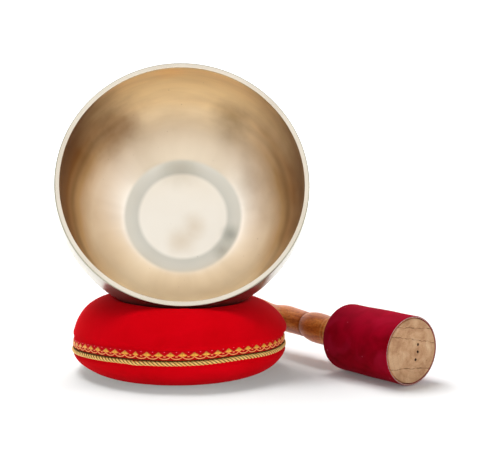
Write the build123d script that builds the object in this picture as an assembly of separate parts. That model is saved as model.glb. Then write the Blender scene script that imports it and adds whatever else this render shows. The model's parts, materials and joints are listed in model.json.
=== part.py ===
from build123d import *
import os
from math import cos, radians, sin, sqrt

# A singing bowl set: a bronze bowl tipped over on a round stuffed cushion, and its mallet lying beside it.
# Millimetres. The origin is the middle of the cushion's base, +Z is up, and the bowl's mouth faces -Y.

# Bowl, drawn upright with its base on z = 0 and its mouth up
BOWL_HEIGHT = 85.0
BELLY_R = 82.4           # widest outer radius
BELLY_Z = 65.0           # height of the widest ring
LIP_R = 78.0             # inner radius of the lip
LIP_WIDTH = 3.3
BELLY_WALL = 2.8
BOWL_BASE_R = 42.5
FLOOR_THICKNESS = 3.2
FLOOR_DISC_R = 31.0      # flat disc in the middle of the floor
FLOOR_RING_R = 40.0      # the ring round it slopes up to the wall
FLOOR_RING_RISE = 1.3
LIP_ROUNDING = 0.7
BASE_ROUNDING = 5.0
FLOOR_ROUNDING = 6.0

# How the bowl stands: middle of its lip plane, how far it is tipped and how far it is turned
LIP_CENTRE = (3.3, -16.6, 125.0)
BOWL_TIP = 69.1
BOWL_TURN = 4.8

# Cushion, a body of revolution: flat base, low bulge, seam band, upper bulge, shallow crown
BASE_R = 46.0            # the low bulge leaves the floor here
UPPER_BULGE_R = 28.0
EQUATOR_R = 70.4
EQUATOR_Z = 20.0
CROWN_ANGLE = 75.0       # how far round the upper bulge the crown takes over
COVER_THICKNESS = 1.1
LAYER_GAP = 0.1          # between the covers and the filling
BOWL_GAP = 0.4           # between the bowl and the dent it presses
SEAM_R = 67.3            # the covers are drawn in to this radius under the trim
SEAM_LOW_Z = 16.3
SEAM_HIGH_Z = 26.2
SEAM_Z = 21.5            # the two covers meet here
SEAM_GAP = 0.05

# Sewing thread that closes the covers behind the tape
STITCHES = 96
STITCH_LENGTH = 3.0
STITCH_WIDTH = 0.35
STITCH_SLANT = 18.0

# Trim round the seam
TRIM_REPEATS = 60
TAPE_INNER_R = SEAM_R + 0.45
TAPE_THICKNESS = 0.5
TAPE_LOW_Z = 19.35
TAPE_HIGH_Z = 25.8
TAPE_R = TAPE_INNER_R + TAPE_THICKNESS
CORD_R = 1.35
CORD_Z = 17.9
DARK_LINE_Z = 19.75
DARK_LINE_HEIGHT = 0.8
DARK_LINE_THICKNESS = 0.55
BRAID_LOW_Z = 20.15      # bottom of each hanging arc
BRAID_SAG = 1.2
BRAID_WIDTH = 0.6
BRAID_GAP = 0.1          # half the gap between one arc and the next
BRAID_THICKNESS = 0.5
MOTIF_FOOT_Z = 22.15
MOTIF_HEIGHT = 3.2
MOTIF_WIDTH = 5.4
MOTIF_SHOULDER = 0.4     # height of the widest point as a share of the motif
MOTIF_LEAN = 0.35        # how far the sides lean in at the widest point
MOTIF_THICKNESS = 0.7
DOT_R = 0.45
LOW_DOT_Z = 22.0
HIGH_DOT_Z = 24.7
DOT_THICKNESS = 0.4
TRIM_LIFT = 0.04         # keeps flat trim pieces off the round tape

# Mallet, drawn with the middle of its end face at the origin and its handle along +Z
HEAD_R = 22.0
HEAD_LENGTH = 62.0
HEAD_ROUNDING = 6.0
SUEDE_THICKNESS = 1.2
SUEDE_GAP = 0.05
SUEDE_SETBACK = 0.3      # the wood stands this far proud of the suede's cut edge
SUEDE_MOUTH_R = 11.5     # where the suede ends round the handle
HANDLE_GROOVE_AT = 100.0
HANDLE_GROOVE_DEPTH = 0.45
HANDLE_FRONT = [(61.0, 9.3), (73.0, 9.6), (84.0, 10.2), (91.0, 10.2), (96.0, 9.5), (99.4, 8.6)]
HANDLE_REAR = [(100.6, 8.5), (112.0, 8.8), (124.0, 9.0), (139.0, 7.2), (156.0, 8.4), (162.5, 7.6)]
HANDLE_LENGTH = 170.0
HANDLE_RISE = 3.0        # degrees the handle rises from the head's axis
HANDLE_ROOT = 40.0       # how deep in the head the handle starts
HANDLE_NUB_R = 1.2       # small flat where the turned end was parted off
COLLAR_GROOVES_AT = (65.0, 68.0, 71.0)
COLLAR_GROOVE_R = 0.5
DRIVE_HOLES = [(5.0, 3.5), (4.9, -1.1), (3.1, -5.8)]   # right of and above the middle of the end face
DRIVE_HOLE_R = 0.9
DRIVE_HOLE_DEPTH = 2.4

# How the mallet lies: middle of its end face, on the floor beside the cushion, handle towards the back
MALLET_FACE = (146.3, -50.2, HEAD_R)
MALLET_TURN = 37.3


def placed_bowl(shape):
    """Upright bowl shape moved to where the bowl stands."""
    return Pos(*LIP_CENTRE) * Rot(0, 0, BOWL_TURN) * Rot(BOWL_TIP, 0, 0) * Pos(0, 0, -BOWL_HEIGHT) * shape


def bowl_wall(belly_r, lip_r, foot):
    """Side of the bowl as two arcs that meet, upright, at its widest ring."""
    widest = (belly_r, BELLY_Z)
    lower = TangentArc(widest, foot, tangent=(0, -1))
    upper = TangentArc(widest, (lip_r, BOWL_HEIGHT), tangent=(0, 1))
    return lower + upper


def rounded(face, corner, radius):
    """Face with the vertex nearest to a corner rounded."""
    return fillet(face.vertices().sort_by_distance(corner)[0], radius)


def bowl_body(grow):
    """The bowl's outer shape filled in, grown by a margin on its wall and base."""
    inward = BELLY_R - BOWL_BASE_R
    wall_arc_r = (inward**2 + BELLY_Z**2) / (2 * inward)
    foot_r = BELLY_R - wall_arc_r + sqrt((wall_arc_r + grow) ** 2 - (BELLY_Z + grow) ** 2)
    foot = (foot_r, -grow)
    lip_r = LIP_R + LIP_WIDTH + grow
    outline = bowl_wall(BELLY_R + grow, lip_r, foot)
    outline += Polyline(foot, (0, -grow), (0, BOWL_HEIGHT), (lip_r, BOWL_HEIGHT))
    section = rounded(make_face(outline), foot, BASE_ROUNDING)
    return placed_bowl(revolve(Plane.XZ * section, Axis.Z))


def bowl():
    """Bronze bowl with a flat lip, a flat foot and a floor disc that a sloping ring joins to the wall."""
    foot = (BOWL_BASE_R, 0)
    lip_outer = (LIP_R + LIP_WIDTH, BOWL_HEIGHT)
    lip_inner = (LIP_R, BOWL_HEIGHT)
    ring_edge = (FLOOR_RING_R, FLOOR_THICKNESS + FLOOR_RING_RISE)
    disc_edge = (FLOOR_DISC_R, FLOOR_THICKNESS)
    outline = bowl_wall(BELLY_R, lip_outer[0], foot)
    outline += bowl_wall(BELLY_R - BELLY_WALL, LIP_R, ring_edge)
    outline += Line(lip_outer, lip_inner)
    outline += Polyline(ring_edge, disc_edge, (0, FLOOR_THICKNESS), (0, 0), foot)
    section = make_face(outline)
    section = rounded(section, foot, BASE_ROUNDING)
    section = rounded(section, ring_edge, FLOOR_ROUNDING)
    section = rounded(section, lip_outer, LIP_ROUNDING)
    section = rounded(section, lip_inner, LIP_ROUNDING)
    return placed_bowl(revolve(Plane.XZ * section, Axis.Z))


def cushion_body(inset):
    """The cushion's outer shape, drawn in under the trim and dented by the bowl, shrunk by an inset."""
    low_width, low_height = EQUATOR_R - BASE_R - inset, EQUATOR_Z - inset
    side = UPPER_BULGE_R - inset
    bulge_centre = Vector(EQUATOR_R - UPPER_BULGE_R, EQUATOR_Z)
    angle = radians(CROWN_ANGLE)
    crown_r = (bulge_centre.X + UPPER_BULGE_R * cos(angle)) / cos(angle)
    crown_start = (bulge_centre.X + side * cos(angle), bulge_centre.Y + side * sin(angle))
    crown_top = bulge_centre.Y + UPPER_BULGE_R * sin(angle) - crown_r * sin(angle) + crown_r - inset
    equator = (EQUATOR_R - inset, EQUATOR_Z)
    outline = EllipticalCenterArc((BASE_R, EQUATOR_Z), low_width, low_height, 270, arc_size=90)
    outline += TangentArc(equator, crown_start, tangent=(0, 1))
    outline += TangentArc((0, crown_top), crown_start, tangent=(1, 0))
    outline += Polyline((BASE_R, inset), (0, inset), (0, crown_top))
    band_height = SEAM_HIGH_Z - SEAM_LOW_Z + 2 * inset
    band_middle = (SEAM_HIGH_Z + SEAM_LOW_Z) / 2
    band = Pos(EQUATOR_R, band_middle) * Rectangle(2 * (EQUATOR_R - SEAM_R + inset), band_height)
    body = revolve(Plane.XZ * (make_face(outline) - band), Axis.Z)
    return body - bowl_body(BOWL_GAP + inset)


def half_space(low, high):
    """Slab wide enough to hold the whole cushion between two heights."""
    return Pos(0, 0, (low + high) / 2) * Box(4 * EQUATOR_R, 4 * EQUATOR_R, high - low)


def cushion_covers():
    """Upper and lower fabric covers, which meet at the seam."""
    shell = cushion_body(0) - cushion_body(COVER_THICKNESS)
    upper = shell & half_space(SEAM_Z + SEAM_GAP, SEAM_Z + 4 * EQUATOR_Z)
    lower = shell & half_space(-EQUATOR_Z, SEAM_Z)
    return upper, lower


def ring(inner_r, outer_r, low, high):
    """Plain ring about Z."""
    section = Pos((inner_r + outer_r) / 2, (low + high) / 2) * Rectangle(outer_r - inner_r, high - low)
    return revolve(Plane.XZ * section, Axis.Z)


def around(sketch, base_r, thickness, count, turn=0.0):
    """Copies of a flat shape, drawn as (along the seam, height), standing on a cylinder about Z."""
    flat = extrude(Plane.XZ * sketch, thickness)
    step = 360 / count
    return Compound([Rot(0, 0, turn + step * i) * Pos(0, -base_r, 0) * flat for i in range(count)])


def seam_thread():
    """Slanting stitches across the seam, behind the tape."""
    stitch = Pos(0, SEAM_Z) * Rot(0, 0, STITCH_SLANT) * SlotOverall(STITCH_LENGTH, STITCH_WIDTH, rotation=90)
    return around(stitch, SEAM_R + TRIM_LIFT, STITCH_WIDTH, STITCHES)


def festoon_braid():
    """Braid that hangs in an arc from each motif to the next."""
    half_pitch = TAPE_R * radians(180 / TRIM_REPEATS) - BRAID_GAP
    radius = (half_pitch**2 + BRAID_SAG**2) / (2 * BRAID_SAG)
    hoop = Circle(radius + BRAID_WIDTH / 2) - Circle(radius - BRAID_WIDTH / 2)
    one_repeat = Rectangle(2 * half_pitch, 4 * BRAID_SAG)
    return Pos(0, BRAID_LOW_Z + BRAID_WIDTH / 2 + radius) * hoop & Pos(0, BRAID_LOW_Z) * one_repeat


def leaf_motif():
    """Pointed leaf with round shoulders that stands on the braid."""
    half = MOTIF_WIDTH / 2
    foot = (0, MOTIF_FOOT_Z)
    tip = (0, MOTIF_FOOT_Z + MOTIF_HEIGHT)
    shoulder_z = MOTIF_FOOT_Z + MOTIF_SHOULDER * MOTIF_HEIGHT
    outline = Curve()
    for side in (-1, 1):
        shoulder = (side * half, shoulder_z)
        outline += TangentArc(shoulder, tip, tangent=(-side * MOTIF_LEAN, 1))
        outline += TangentArc(shoulder, foot, tangent=(-side * MOTIF_LEAN, -1))
    return make_face(outline)


def trim():
    """Every trim node by name."""
    half_step = 180 / TRIM_REPEATS
    on_tape = TAPE_R + TRIM_LIFT
    braid = around(festoon_braid(), on_tape, BRAID_THICKNESS, TRIM_REPEATS)
    motifs = around(leaf_motif(), on_tape, MOTIF_THICKNESS, TRIM_REPEATS, half_step)
    dots = Pos(0, LOW_DOT_Z) * Circle(DOT_R) + Pos(0, HIGH_DOT_Z) * Circle(DOT_R)
    dot_row = around(dots, on_tape, DOT_THICKNESS, TRIM_REPEATS)
    dark_low = DARK_LINE_Z - DARK_LINE_HEIGHT / 2
    dark_line = ring(on_tape, on_tape + DARK_LINE_THICKNESS, dark_low, dark_low + DARK_LINE_HEIGHT)
    cord_path_r = SEAM_R + TRIM_LIFT + CORD_R
    cord = revolve(Plane.XZ * (Pos(cord_path_r, CORD_Z) * Circle(CORD_R)), Axis.Z)
    return {
        "trim_tape": ring(TAPE_INNER_R, TAPE_R, TAPE_LOW_Z, TAPE_HIGH_Z),
        "trim_festoon_braid": braid,
        "trim_leaf_motifs": motifs,
        "trim_dots": dot_row,
        "trim_dark_line": dark_line,
        "trim_gold_cord": cord,
    }


def placed_mallet(shape):
    """Mallet shape moved to where the mallet lies."""
    return Pos(*MALLET_FACE) * Rot(0, 0, MALLET_TURN) * Rot(-90, 0, 0) * shape


def head_core():
    """Wooden core of the head, with a rounded shoulder and the small holes that the lathe left."""
    core_r = HEAD_R - SUEDE_THICKNESS - SUEDE_GAP
    shoulder = HEAD_LENGTH - SUEDE_THICKNESS - SUEDE_GAP
    section = make_face(Polyline((0, 0), (core_r, 0), (core_r, shoulder), (0, shoulder), (0, 0)))
    section = rounded(section, (core_r, shoulder), HEAD_ROUNDING - SUEDE_THICKNESS)
    core = revolve(Plane.XZ * section, Axis.Z)
    for right, up in DRIVE_HOLES:
        core -= Pos(right, -up, DRIVE_HOLE_DEPTH / 2) * Cylinder(DRIVE_HOLE_R, DRIVE_HOLE_DEPTH)
    return core


def handle_stick():
    """Waisted handle with a ring groove and a domed end, rising a little from the head's axis."""
    front = [(r, s) for s, r in HANDLE_FRONT]
    rear = [(r, s) for s, r in HANDLE_REAR]
    groove_floor = (front[-1][0] - HANDLE_GROOVE_DEPTH, HANDLE_GROOVE_AT)
    outline = Polyline((0, HANDLE_ROOT), (front[0][0], HANDLE_ROOT), front[0])
    outline += Spline(*front)
    outline += Polyline(front[-1], groove_floor, rear[0])
    rear_wave = Spline(*rear)
    outline += rear_wave
    nub_edge = (HANDLE_NUB_R, HANDLE_LENGTH)
    outline += TangentArc(rear[-1], nub_edge, tangent=rear_wave % 1)
    outline += Polyline(nub_edge, (0, HANDLE_LENGTH), (0, HANDLE_ROOT))
    section = make_face(outline)
    for height in COLLAR_GROOVES_AT:
        section -= Pos(front[0][0] + COLLAR_GROOVE_R / 2, height) * Circle(COLLAR_GROOVE_R)
    stick = revolve(Plane.XZ * section, Axis.Z)
    return Pos(0, 0, HEAD_LENGTH) * Rot(HANDLE_RISE, 0, 0) * Pos(0, 0, -HEAD_LENGTH) * stick


def mallet_handle():
    """The mallet's wood: the core of the head and the handle in one piece."""
    return placed_mallet(head_core() + handle_stick())


def mallet_suede_wrap():
    """Suede sleeve round the head, turned in over the shoulder."""
    inner_r = HEAD_R - SUEDE_THICKNESS
    inner_end = HEAD_LENGTH - SUEDE_THICKNESS
    corner = (HEAD_R, HEAD_LENGTH)
    inner_corner = (inner_r, inner_end)
    outline = Polyline(
        (inner_r, SUEDE_SETBACK),
        (HEAD_R, SUEDE_SETBACK),
        corner,
        (SUEDE_MOUTH_R, HEAD_LENGTH),
        (SUEDE_MOUTH_R, inner_end),
        inner_corner,
        (inner_r, SUEDE_SETBACK),
    )
    section = rounded(make_face(outline), corner, HEAD_ROUNDING)
    section = rounded(section, inner_corner, HEAD_ROUNDING - SUEDE_THICKNESS)
    return placed_mallet(revolve(Plane.XZ * section, Axis.Z))


top_cover, bottom_cover = cushion_covers()
parts = {
    "bowl": bowl(),
    "cushion_top_cover": top_cover,
    "cushion_bottom_cover": bottom_cover,
    "cushion_filling": cushion_body(COVER_THICKNESS + LAYER_GAP),
    "cover_seam_thread": seam_thread(),
    "mallet_handle": mallet_handle(),
    "mallet_suede_wrap": mallet_suede_wrap(),
}
parts.update(trim())

os.makedirs("parts", exist_ok=True)
for name, shape in parts.items():
    export_step(shape, f"parts/{name}.step")
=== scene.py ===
import json
import math

import bmesh
import bpy
import numpy as np
from mathutils import Euler, Matrix, Vector


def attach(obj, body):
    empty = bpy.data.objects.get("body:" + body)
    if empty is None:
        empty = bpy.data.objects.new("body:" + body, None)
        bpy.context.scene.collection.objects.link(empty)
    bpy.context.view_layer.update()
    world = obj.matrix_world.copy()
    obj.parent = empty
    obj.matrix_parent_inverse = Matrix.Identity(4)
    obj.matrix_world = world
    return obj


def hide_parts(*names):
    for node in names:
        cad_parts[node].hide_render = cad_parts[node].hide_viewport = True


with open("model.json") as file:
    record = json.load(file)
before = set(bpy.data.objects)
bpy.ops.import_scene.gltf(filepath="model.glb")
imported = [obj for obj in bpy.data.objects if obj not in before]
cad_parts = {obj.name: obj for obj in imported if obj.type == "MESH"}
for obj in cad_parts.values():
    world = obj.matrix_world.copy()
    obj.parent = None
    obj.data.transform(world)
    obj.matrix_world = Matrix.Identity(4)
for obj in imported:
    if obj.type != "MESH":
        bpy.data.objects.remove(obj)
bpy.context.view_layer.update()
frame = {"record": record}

# Sizes are in millimetres and become metres as each mesh is made.
MM = 0.001
TURN = 2 * math.pi

# Bowl, drawn upright with its foot on z = 0
BOWL_HEIGHT = 85.0
BELLY_R = 82.4
BELLY_Z = 65.0
BELLY_WALL = 2.8
LIP_R = 78.0
LIP_WIDTH = 3.3
FOOT_R = 42.5
FLOOR_THICKNESS = 3.2
FLOOR_DISC_R = 31.0
FLOOR_RING_R = 40.0
FLOOR_RING_RISE = 1.3
FLOOR_SHIFT = 2.0        # the hammered floor is a little off the lip's axis
BOWL_TURN = math.radians(4.8)

# Cushion
EQUATOR_R = 70.4
EQUATOR_Z = 20.0
UPPER_BULGE_R = 28.0
CROWN_ANGLE = math.radians(75.0)
BASE_R = 46.0
SEAM_R = 68.0
SEAM_LOW_Z = 16.2
SEAM_HIGH_Z = 26.0
DENT_GAP = 0.3           # under the bowl as it is without FLOOR_SHIFT and bowl_wobble
DENT_ROUNDING = 3.0
DENT_LEVELS = (30.0, 60.0)       # heights between which the dent's floor is looked for
LEFT_RISE = 1.7          # the stuffing stands higher at the left and lower at the right
LEFT_BULGE = 1.4         # it is wider at the left, from just above the base up
UPPER_SHIFT = 1.4        # and the part above the seam sits to the right
SEAM_SWELL = 1.2
SEAM_WANDER = [(1.05, 35, 17), (0.2, -27, 9), (-2.6, -85, 28)]    # rise, where and how wide, in degrees

# Trim round the cushion's seam
TRIM_REPEATS = 60
TRIM_STEP = TURN / TRIM_REPEATS
TRIM_TURN = math.radians(1.4)    # where the first hanging arc is, round from the front
JOIN_AT = -19.5          # degrees round from the front, where the ends of the trim meet
TAPE_R = 68.3
TAPE_THICKNESS = 0.5
TAPE_LOW_Z = 18.9
TAPE_HIGH_Z = 25.6
CORD_R = 1.35
CORD_PATH_R = 68.4
CORD_Z = 17.9
CORD_STRANDS = 3
CORD_TWISTS = 54
DARK_LINE_Z = 19.65
BRAID_LOW_Z = 20.85
BRAID_SAG = 1.6
LEAF_FOOT_Z = 21.7
LEAF_HEIGHT = 3.3
LEAF_WIDTH = 5.9
LOW_DOT_Z = 22.3
HIGH_DOT_Z = 25.0

# Studio: how bright the tent looks in gloss, at the horizon and above, and how much it lights matt things,
# and the white sweep with its own light
TENT_LOW = 1.38
TENT_HIGH = 1.5
TENT_FILL = 0.2
SWEEP_WHITE = 0.8
FLOOR_LIGHT = 0.06
GLOSS_LIFT = 0.75
WALL_LIGHT = 1.0
# Sweep, in millimetres: near edge, start and radius of its bend, and how far it reaches up and sideways
SWEEP_NEAR, SWEEP_FAR, SWEEP_BEND, SWEEP_EDGE = -3500.0, 2500.0, 1500.0, 4500.0
LIGHT_TARGET = (0.03, 0.0, 0.05)
# Each softbox's name, its place and size in metres, and its brightness
SOFTBOXES = [("front", (0.15, -1.5, 0.32), (1.6, 0.5), 2.2), ("right", (1.2, -0.85, 0.26), (0.6, 0.6), 4.4),
             ("overhead", (-0.28, 0.35, 1.25), (1.0, 0.8), 8.8)]
CAMERA_LENS = 86.4
CAMERA_PLACE = (0.046, -0.781, 0.1716)
CAMERA_TILT = math.radians(90 - 6.0)

# Mallet, drawn with its end face on z = 0 and its handle along +Z
HEAD_R = 22.0
HEAD_LENGTH = 62.0
SUEDE_THICKNESS = 1.2
SUEDE_MOUTH_R = 11.5
SUEDE_GAP = 0.05
SUEDE_SETBACK = 0.3      # the wood stands this far proud of the suede's cut edge
HANDLE_FRONT = [(61.0, 9.3), (73.0, 9.6), (84.0, 10.2), (91.0, 10.2), (96.0, 9.5), (99.4, 8.6)]
HANDLE_REAR = [(100.6, 8.5), (112.0, 8.8), (124.0, 9.0), (139.0, 7.2), (156.0, 8.4), (162.5, 7.6)]
HANDLE_GROOVE_Z = 100.0
HANDLE_GROOVE_DEPTH = 0.45
HANDLE_RISE = math.radians(3.0)
COLLAR_GROOVES_AT = (65.0, 68.0, 71.0)
DRIVE_HOLES = [(5.0, 3.5), (4.9, -1.1), (3.1, -5.8)]
MALLET_FACE = (146.3, -50.2, HEAD_R)
MALLET_TURN = math.radians(37.3)


# ---------------- meshes

class Patchwork:
    """Collects grids of points, in millimetres, into one mesh with a UV map."""

    def __init__(self):
        self.points, self.faces, self.uvs, self.slots, self.shades = [], [], [], [], []
        self.count = 0

    def add(self, grid, wrap_rows=False, wrap_columns=False, uv_size=(1.0, 1.0), slots=None, shade=None):
        """Adds a rows x columns x 3 grid; slots is each face row's material, shade the painted shade, 1 on
        what stands out and lower where it is painted darker.
        """
        rows, columns = grid.shape[:2]
        face_rows = rows if wrap_rows else rows - 1
        face_columns = columns if wrap_columns else columns - 1
        i, j = np.meshgrid(np.arange(face_rows), np.arange(face_columns), indexing="ij")
        i, j = i.ravel(), j.ravel()
        corners = [(i, j), (i, j + 1), (i + 1, j + 1), (i + 1, j)]
        quads = np.stack([(a % rows) * columns + b % columns for a, b in corners], 1)
        uv = np.stack([np.stack([b * uv_size[0] / face_columns, a * uv_size[1] / face_rows], 1)
                       for a, b in corners], 1)
        self.points.append(grid.reshape(-1, 3) * MM)
        self.faces.append(quads + self.count)
        self.uvs.append(uv.reshape(-1, 2))
        self.slots.append(np.zeros(len(quads), int) if slots is None else np.asarray(slots)[i])
        self.shades.append(np.ones(rows * columns) if shade is None else shade.ravel())
        self.count += rows * columns

    def piece(self, name, body, materials, replaces):
        """The finished object, riding on a CAD body."""
        mesh = bpy.data.meshes.new(name)
        mesh.from_pydata(np.concatenate(self.points).tolist(), [], np.concatenate(self.faces).tolist())
        layer = mesh.uv_layers.new(name="surface")
        layer.data.foreach_set("uv", np.concatenate(self.uvs).ravel())
        shade = mesh.attributes.new("shade", "FLOAT", "POINT")
        shade.data.foreach_set("value", np.concatenate(self.shades))
        mesh.polygons.foreach_set("material_index", np.concatenate(self.slots))
        mesh.polygons.foreach_set("use_smooth", np.ones(len(mesh.polygons), bool))
        for material in materials:
            mesh.materials.append(material)
        work = bmesh.new()
        work.from_mesh(mesh)
        bmesh.ops.remove_doubles(work, verts=work.verts, dist=1e-7)
        bmesh.ops.dissolve_degenerate(work, edges=work.edges, dist=1e-7)
        bmesh.ops.recalc_face_normals(work, faces=work.faces)
        work.to_mesh(mesh)
        work.free()
        obj = bpy.data.objects.new(name, mesh)
        bpy.context.scene.collection.objects.link(obj)
        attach(obj, body)
        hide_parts(*replaces)
        return obj


def line(start, end, count):
    """Points from start to end, both included."""
    share = np.linspace(0, 1, count)[:, None]
    return np.array(start) * (1 - share) + np.array(end) * share


def arc(centre, radius, start, end, count):
    """Points on an arc, by angles from the first axis."""
    angle = np.linspace(start, end, count)
    return np.array(centre) + radius * np.stack([np.cos(angle), np.sin(angle)], 1)


def joined(runs, cuts, count=6):
    """Runs of points end to end, each corner between them cut back and rounded."""
    runs = [np.array(run) for run in runs]
    result = []
    for k, run in enumerate(runs):
        if k:
            corner = run[0].copy()
            run = run[np.hypot(*(run - corner).T) >= cuts[k - 1]]
            start = result[-1][-1]
            t = np.linspace(0, 1, count)[1:-1, None]
            result.append(start * (1 - t) ** 2 + corner * 2 * t * (1 - t) + run[0] * t**2)
        if k < len(runs) - 1:
            run = run[np.hypot(*(run - runs[k][-1]).T) >= cuts[k]]
        result.append(run)
    return np.concatenate(result), np.concatenate([np.full(len(part), n) for n, part in enumerate(result)])


def smooth_curve(knots, count):
    """Smooth curve through (place, value) knots, by Catmull-Rom spans."""
    knots = np.array(knots)
    ends = np.vstack([2 * knots[0] - knots[1], knots, 2 * knots[-1] - knots[-2]])
    share = np.linspace(0, 1, count, endpoint=False)[:, None]
    spans = []
    for a, b, c, d in zip(ends, ends[1:], ends[2:], ends[3:]):
        spans.append(0.5 * (2 * b + (c - a) * share + (2 * a - 5 * b + 4 * c - d) * share**2
                            + (3 * b - a - 3 * c + d) * share**3))
    return np.vstack(spans + [knots[-1:]])


def ripple(angle, waves, seed):
    """Smooth uneven wave round a ring, from -1 to 1, as a sum of whole numbers of waves."""
    rng = np.random.default_rng(seed)
    total = np.zeros_like(angle)
    for wave in waves:
        total += rng.uniform(0.5, 1) * np.sin(wave * angle + rng.uniform(0, TURN))
    return total / len(waves)


def smoothstep(low, high, value):
    """0 below low, 1 above high, smooth between."""
    t = np.clip((value - low) / (high - low), 0, 1)
    return t * t * (3 - 2 * t)


def turned(profile, columns, wobble):
    """Grid of points: a (radius, height) profile turned about Z; wobble adds to radius and height."""
    angle = np.arange(columns) * TURN / columns
    radius = np.repeat(profile[:, :1], columns, 1)
    height = np.repeat(profile[:, 1:], columns, 1)
    more_radius, more_height = wobble(radius, height, np.broadcast_to(angle, radius.shape))
    radius, height = radius + more_radius, height + more_height
    return np.stack([radius * np.cos(angle), radius * np.sin(angle), height], -1)


def moved(grid, matrix):
    """Grid of points under a 4 x 4 matrix in millimetres."""
    m = np.array(matrix)
    return grid @ m[:3, :3].T + m[:3, 3]


def round_cushion(angle, radius, height):
    """Points round the cushion, by angle from the front (-Y) towards +X."""
    return np.stack([radius * np.sin(angle), -radius * np.cos(angle), height + np.zeros_like(angle)], -1)


def tube(path, out, thick, sides):
    """Grid round a closed path: a round section, set out from the direction out."""
    along = np.roll(path, -1, 0) - np.roll(path, 1, 0)
    along /= np.linalg.norm(along, axis=1, keepdims=True)
    side = np.cross(along, out)
    side /= np.linalg.norm(side, axis=1, keepdims=True)
    out = np.cross(side, along)
    turn = np.arange(sides) * TURN / sides
    section = np.cos(turn)[None, :, None] * side[:, None] * thick / 2
    section = section + np.sin(turn)[None, :, None] * out[:, None] * thick / 2
    return np.swapaxes(path[:, None] + section, 0, 1)


# ---------------- materials

class Shader:
    """One procedural material, built from a few short calls."""

    def __init__(self, name):
        self.material = bpy.data.materials.new(name)
        self.material.use_nodes = True
        self.nodes = self.material.node_tree.nodes
        self.links = self.material.node_tree.links
        self.surface = self.nodes["Principled BSDF"]

    def plug(self, socket, value):
        """Links a socket or sets a constant."""
        if isinstance(value, bpy.types.NodeSocket):
            self.links.new(value, socket)
        else:
            socket.default_value = value

    def node(self, kind, inputs=None, **settings):
        """A node with its settings and inputs; returns the node."""
        made = self.nodes.new(kind)
        for key, value in settings.items():
            setattr(made, key, value)
        for key, value in (inputs or {}).items():
            self.plug(made.inputs[key], value)
        return made

    def place(self):
        """Position in the row frame at rest, in metres; it moves with the piece."""
        return self.node("ShaderNodeTexCoord").outputs["Object"]

    def uv(self):
        return self.node("ShaderNodeUVMap", uv_map="surface").outputs["UV"]

    def shade(self):
        """Painted shade: 1 on the outside of what is wound or domed, 0 in its grooves, which are painted
        darker.
        """
        return self.node("ShaderNodeAttribute", attribute_name="shade").outputs["Fac"]

    def mapped(self, vector, scale=(1, 1, 1), rotation=(0, 0, 0), location=(0, 0, 0)):
        inputs = {"Vector": vector, "Scale": scale, "Rotation": rotation, "Location": location}
        return self.node("ShaderNodeMapping", inputs).outputs["Vector"]

    def noise(self, vector, scale, detail=3.0, roughness=0.5, distortion=0.0):
        inputs = {"Vector": vector, "Scale": scale, "Detail": detail, "Roughness": roughness,
                  "Distortion": distortion}
        return self.node("ShaderNodeTexNoise", inputs).outputs["Fac"]

    def waves(self, vector, scale, distortion=0.0, direction="X", detail=0.0):
        inputs = {"Vector": vector, "Scale": scale, "Distortion": distortion, "Detail": detail}
        return self.node("ShaderNodeTexWave", inputs, bands_direction=direction).outputs["Fac"]

    def spots(self, vector, scale):
        return self.node("ShaderNodeTexVoronoi", {"Vector": vector, "Scale": scale}).outputs["Distance"]

    def maths(self, operation, a, b=0.0):
        return self.node("ShaderNodeMath", {0: a, 1: b}, operation=operation).outputs[0]

    def times(self, a, b):
        return self.maths("MULTIPLY", a, b)

    def plus(self, a, b):
        return self.maths("ADD", a, b)

    def minus(self, a, b):
        return self.maths("SUBTRACT", a, b)

    def over(self, a, b):
        return self.maths("DIVIDE", a, b)

    def from_axis(self, x, y):
        """Distance from the axis."""
        return self.maths("SQRT", self.plus(self.times(x, x), self.times(y, y)))

    def tinted(self, colour, tint):
        return self.mix(1.0, colour, tint, "MULTIPLY")

    def before_laying(self, place):
        """Position in metres in the piece's own upright space; place is its matrix in millimetres."""
        upright = place.inverted()
        return self.mapped(self.place(), rotation=tuple(upright.to_euler()),
                           location=tuple(upright.translation * MM))

    def parts(self, vector):
        return self.node("ShaderNodeSeparateXYZ", {0: vector}).outputs

    def vector(self, x, y, z):
        return self.node("ShaderNodeCombineXYZ", {0: x, 1: y, 2: z}).outputs[0]

    def ramp(self, share, stops, smooth=False):
        """Colour or grey by share; stops are (place, colour or number)."""
        made = self.node("ShaderNodeValToRGB", {"Fac": share})
        band = made.color_ramp
        if smooth:
            band.interpolation = "EASE"
        while len(band.elements) < len(stops):
            band.elements.new(1.0)
        for element, (place, value) in zip(band.elements, stops):
            element.position = place
            colour = (value,) * 3 if isinstance(value, (int, float)) else value
            element.color = (*colour[:3], 1)
        return made.outputs["Color"]

    def mix(self, share, a, b, blend="MIX"):
        made = self.node("ShaderNodeMix", data_type="RGBA", blend_type=blend)
        self.plug(made.inputs["Factor"], share)
        self.plug(made.inputs[6], a if isinstance(a, bpy.types.NodeSocket) else (*a, 1))
        self.plug(made.inputs[7], b if isinstance(b, bpy.types.NodeSocket) else (*b, 1))
        return made.outputs[2]

    def bump(self, height, distance, strength, normal=None):
        inputs = {"Height": height, "Distance": distance, "Strength": strength}
        if normal is not None:
            inputs["Normal"] = normal
        return self.node("ShaderNodeBump", inputs).outputs["Normal"]

    def finish(self, **inputs):
        """Sets the surface's own sockets; an underscore in a name is a space."""
        for key, value in inputs.items():
            if isinstance(value, tuple) and len(value) == 3:
                value = (*value, 1)
            self.plug(self.surface.inputs[key.replace("_", " ")], value)
        return self.material


def rgb(red, green, blue):
    """Linear colour from the usual 0 to 255 numbers."""
    def linear(value):
        value /= 255
        return value / 12.92 if value <= 0.04045 else ((value + 0.055) / 1.055) ** 2.4
    return tuple(linear(v) for v in (red, green, blue))


# ---------------- bowl

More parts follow.
